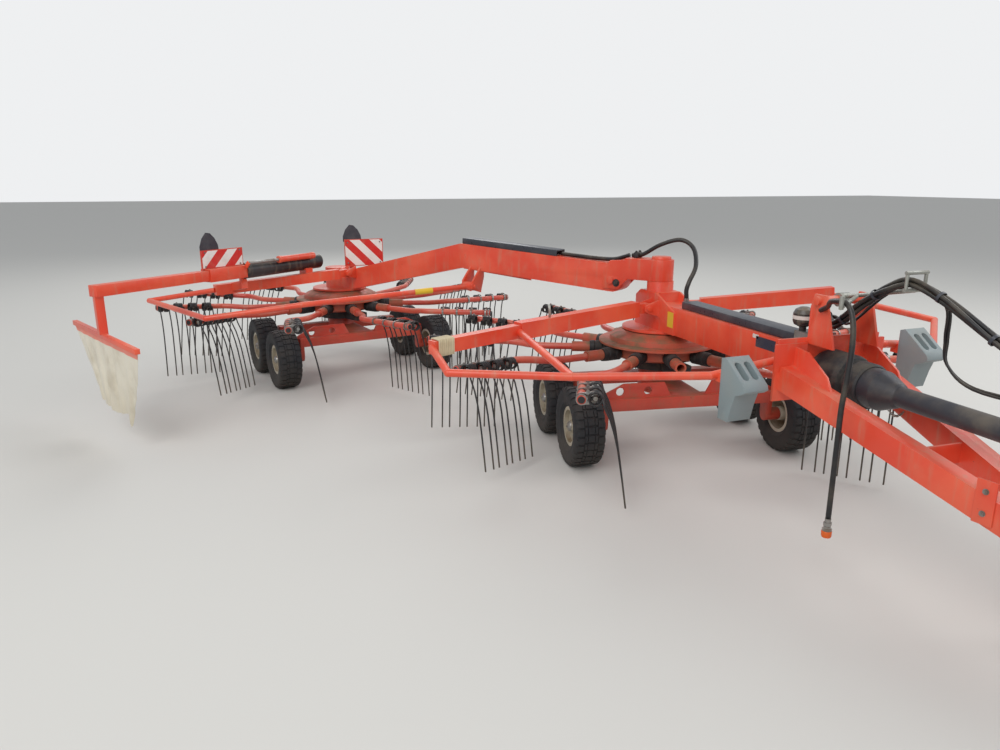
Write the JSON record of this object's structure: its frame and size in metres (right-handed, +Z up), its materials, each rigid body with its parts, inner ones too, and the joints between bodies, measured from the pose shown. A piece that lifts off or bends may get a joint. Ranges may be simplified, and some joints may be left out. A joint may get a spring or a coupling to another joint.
{
  "type": "twin rotor hay rake",
  "caption": "Trailed twin rotor hay rake with sprung tine arms, an arched boom, guard frames, side curtain and drawbar, parked on its wheels and jack.",
  "frame": {"origin": "on the ground below the middle of the machine's bounding box", "axes": "+X towards the machine's left, -Y the way it travels, towards the hitch, +Z up"},
  "size_m": [5.1427, 7.0744, 1.2615],
  "materials": {
    "red_paint": "satin, faded",
    "worn_paint": "satin, under a brown film of dust",
    "chassis_paint": "satin, dusty",
    "arm_paint": "satin, scratched",
    "black_paint": "satin",
    "tyre": "matt, dusty",
    "rim": "satin cream",
    "cover": "matt",
    "hose": "matt",
    "boot": "matt",
    "spring_steel": "black, worn to bare steel at the tips",
    "chock": "matt grey",
    "casting": "dusty",
    "board": "red and white stripes",
    "cloth": "matt",
    "bright_steel": "worn",
    "galvanised": "galvanised",
    "shaft_guard": "matt, scuffed",
    "valve": "dull"
  },
  "bodies": {
    "frame": {"main_beam": "red_paint", "beam_cover": "cover", "front_gearbox": "casting", "front_carriage": "chassis_paint", "headstock": "red_paint", "drawbar": "red_paint", "hitch_head": "red_paint", "jack_tube": "red_paint", "input_gearbox": "casting", "pto_shaft": "shaft_guard", "valve_block": "valve", "accumulator": "black_paint", "hose_stand": "galvanised", "hoses": "hose", "drop_hose": "hose", "drop_coupling": "bright_steel"},
    "hitch_ring": {"hitch_ring": "bright_steel"},
    "jack_leg": {"jack_leg": "bright_steel"},
    "right_guard": {"right_guard": "red_paint", "right_chock": "chock"},
    "left_guard": {"left_guard": "red_paint", "left_chock": "chock"},
    "front_rotor": {"front_hub": "worn_paint", "front_boots": "boot", "front_arms": "arm_paint", "front_tines": "spring_steel"},
    "yoke": {"yoke": "red_paint", "tower_hose": "hose"},
    "boom": {"boom": "red_paint", "boom_cover": "cover", "rear_gearbox": "casting", "inner_board": "board"},
    "rear_wing": {"rear_guard": "red_paint", "curtain_tube": "black_paint", "curtain_sleeve": "red_paint", "outer_board": "board"},
    "curtain": {"curtain_arm": "red_paint", "curtain": "cloth"},
    "rear_carriage": {"rear_carriage": "chassis_paint"},
    "rear_rotor": {"rear_hub": "worn_paint", "rear_boots": "boot", "rear_arms": "arm_paint", "rear_tines": "spring_steel"},
    "front_lead_right_wheel": {"front_lead_right_tyre": "tyre", "front_lead_right_rim": "rim"},
    "front_lead_left_wheel": {"front_lead_left_tyre": "tyre", "front_lead_left_rim": "rim"},
    "front_trail_right_wheel": {"front_trail_right_tyre": "tyre", "front_trail_right_rim": "rim"},
    "front_trail_left_wheel": {"front_trail_left_tyre": "tyre", "front_trail_left_rim": "rim"},
    "rear_lead_right_wheel": {"rear_lead_right_tyre": "tyre", "rear_lead_right_rim": "rim"},
    "rear_lead_left_wheel": {"rear_lead_left_tyre": "tyre", "rear_lead_left_rim": "rim"},
    "rear_trail_right_wheel": {"rear_trail_right_tyre": "tyre", "rear_trail_right_rim": "rim"},
    "rear_trail_left_wheel": {"rear_trail_left_tyre": "tyre", "rear_trail_left_rim": "rim"}
  },
  "joints": [
    {"name": "hitch_swivel", "type": "hinge", "parent": "frame", "child": "hitch_ring", "pos_m": [1.051, -3.283, 0.422], "axis": [0, 1, 0], "range_deg": [-25, 25]},
    {"name": "jack_slide", "type": "slide", "parent": "frame", "child": "jack_leg", "axis": [0, 0, 1], "range_m": [0, 0.14]},
    {"name": "right_guard_fold", "type": "hinge", "parent": "frame", "child": "right_guard", "pos_m": [0.899, -0.523, 0.836], "axis": [0, 1, 0], "range_deg": [0, 70]},
    {"name": "left_guard_fold", "type": "hinge", "parent": "frame", "child": "left_guard", "pos_m": [1.203, -0.523, 0.836], "axis": [0, -1, 0], "range_deg": [0, 70]},
    {"name": "front_rotor_turn", "type": "hinge", "parent": "frame", "child": "front_rotor", "pos_m": [1.051, -0.423, 0.6], "axis": [0, 0, 1], "continuous": true},
    {"name": "boom_swing", "type": "hinge", "parent": "frame", "child": "yoke", "pos_m": [1.051, -0.423, 1.05], "axis": [0, 0, 1], "range_deg": [-35, 10]},
    {"name": "boom_lift", "type": "hinge", "parent": "yoke", "child": "boom", "pos_m": [0.86975, -0.16415, 0.97], "axis": [0.8192, 0.5736, 0], "range_deg": [-2, 6]},
    {"name": "wing_fold", "type": "hinge", "parent": "boom", "child": "rear_wing", "pos_m": [0.11446, 0.69135, 0.846], "axis": [-0.5736, 0.8192, 0], "range_deg": [0, 50]},
    {"name": "curtain_slide", "type": "slide", "parent": "rear_wing", "child": "curtain", "axis": [-0.7193, -0.6947, 0], "range_m": [-0.4, 0]},
    {"name": "rear_steer", "type": "hinge", "parent": "boom", "child": "rear_carriage", "pos_m": [-0.6812, 2.05084, 0.36], "axis": [0, 0, 1], "range_deg": [-25, 25]},
    {"name": "rear_rotor_turn", "type": "hinge", "parent": "boom", "child": "rear_rotor", "pos_m": [-0.6812, 2.05084, 0.6], "axis": [0, 0, 1], "continuous": true},
    {"name": "front_lead_right_roll", "type": "hinge", "parent": "frame", "child": "front_lead_right_wheel", "pos_m": [0.34117, -0.82952, 0.228], "axis": [0.9925, -0.1219, 0], "continuous": true},
    {"name": "front_lead_left_roll", "type": "hinge", "parent": "frame", "child": "front_lead_left_wheel", "pos_m": [1.6414, -0.98917, 0.228], "axis": [0.9925, -0.1219, 0], "continuous": true},
    {"name": "front_trail_right_roll", "type": "hinge", "parent": "frame", "child": "front_trail_right_wheel", "pos_m": [0.41368, -0.23896, 0.228], "axis": [0.9925, -0.1219, 0], "continuous": true},
    {"name": "front_trail_left_roll", "type": "hinge", "parent": "frame", "child": "front_trail_left_wheel", "pos_m": [1.71391, -0.39861, 0.228], "axis": [0.9925, -0.1219, 0], "continuous": true},
    {"name": "rear_lead_right_roll", "type": "hinge", "parent": "rear_carriage", "child": "rear_lead_right_wheel", "pos_m": [-1.20919, 1.42606, 0.228], "axis": [0.9744, 0.225, 0], "continuous": true},
    {"name": "rear_lead_left_roll", "type": "hinge", "parent": "rear_carriage", "child": "rear_lead_left_wheel", "pos_m": [0.06724, 1.72074, 0.228], "axis": [0.9744, 0.225, 0], "continuous": true},
    {"name": "rear_trail_right_roll", "type": "hinge", "parent": "rear_carriage", "child": "rear_trail_right_wheel", "pos_m": [-1.34303, 2.00581, 0.228], "axis": [0.9744, 0.225, 0], "continuous": true},
    {"name": "rear_trail_left_roll", "type": "hinge", "parent": "rear_carriage", "child": "rear_trail_left_wheel", "pos_m": [-0.06661, 2.30049, 0.228], "axis": [0.9744, 0.225, 0], "continuous": true}
  ]
}
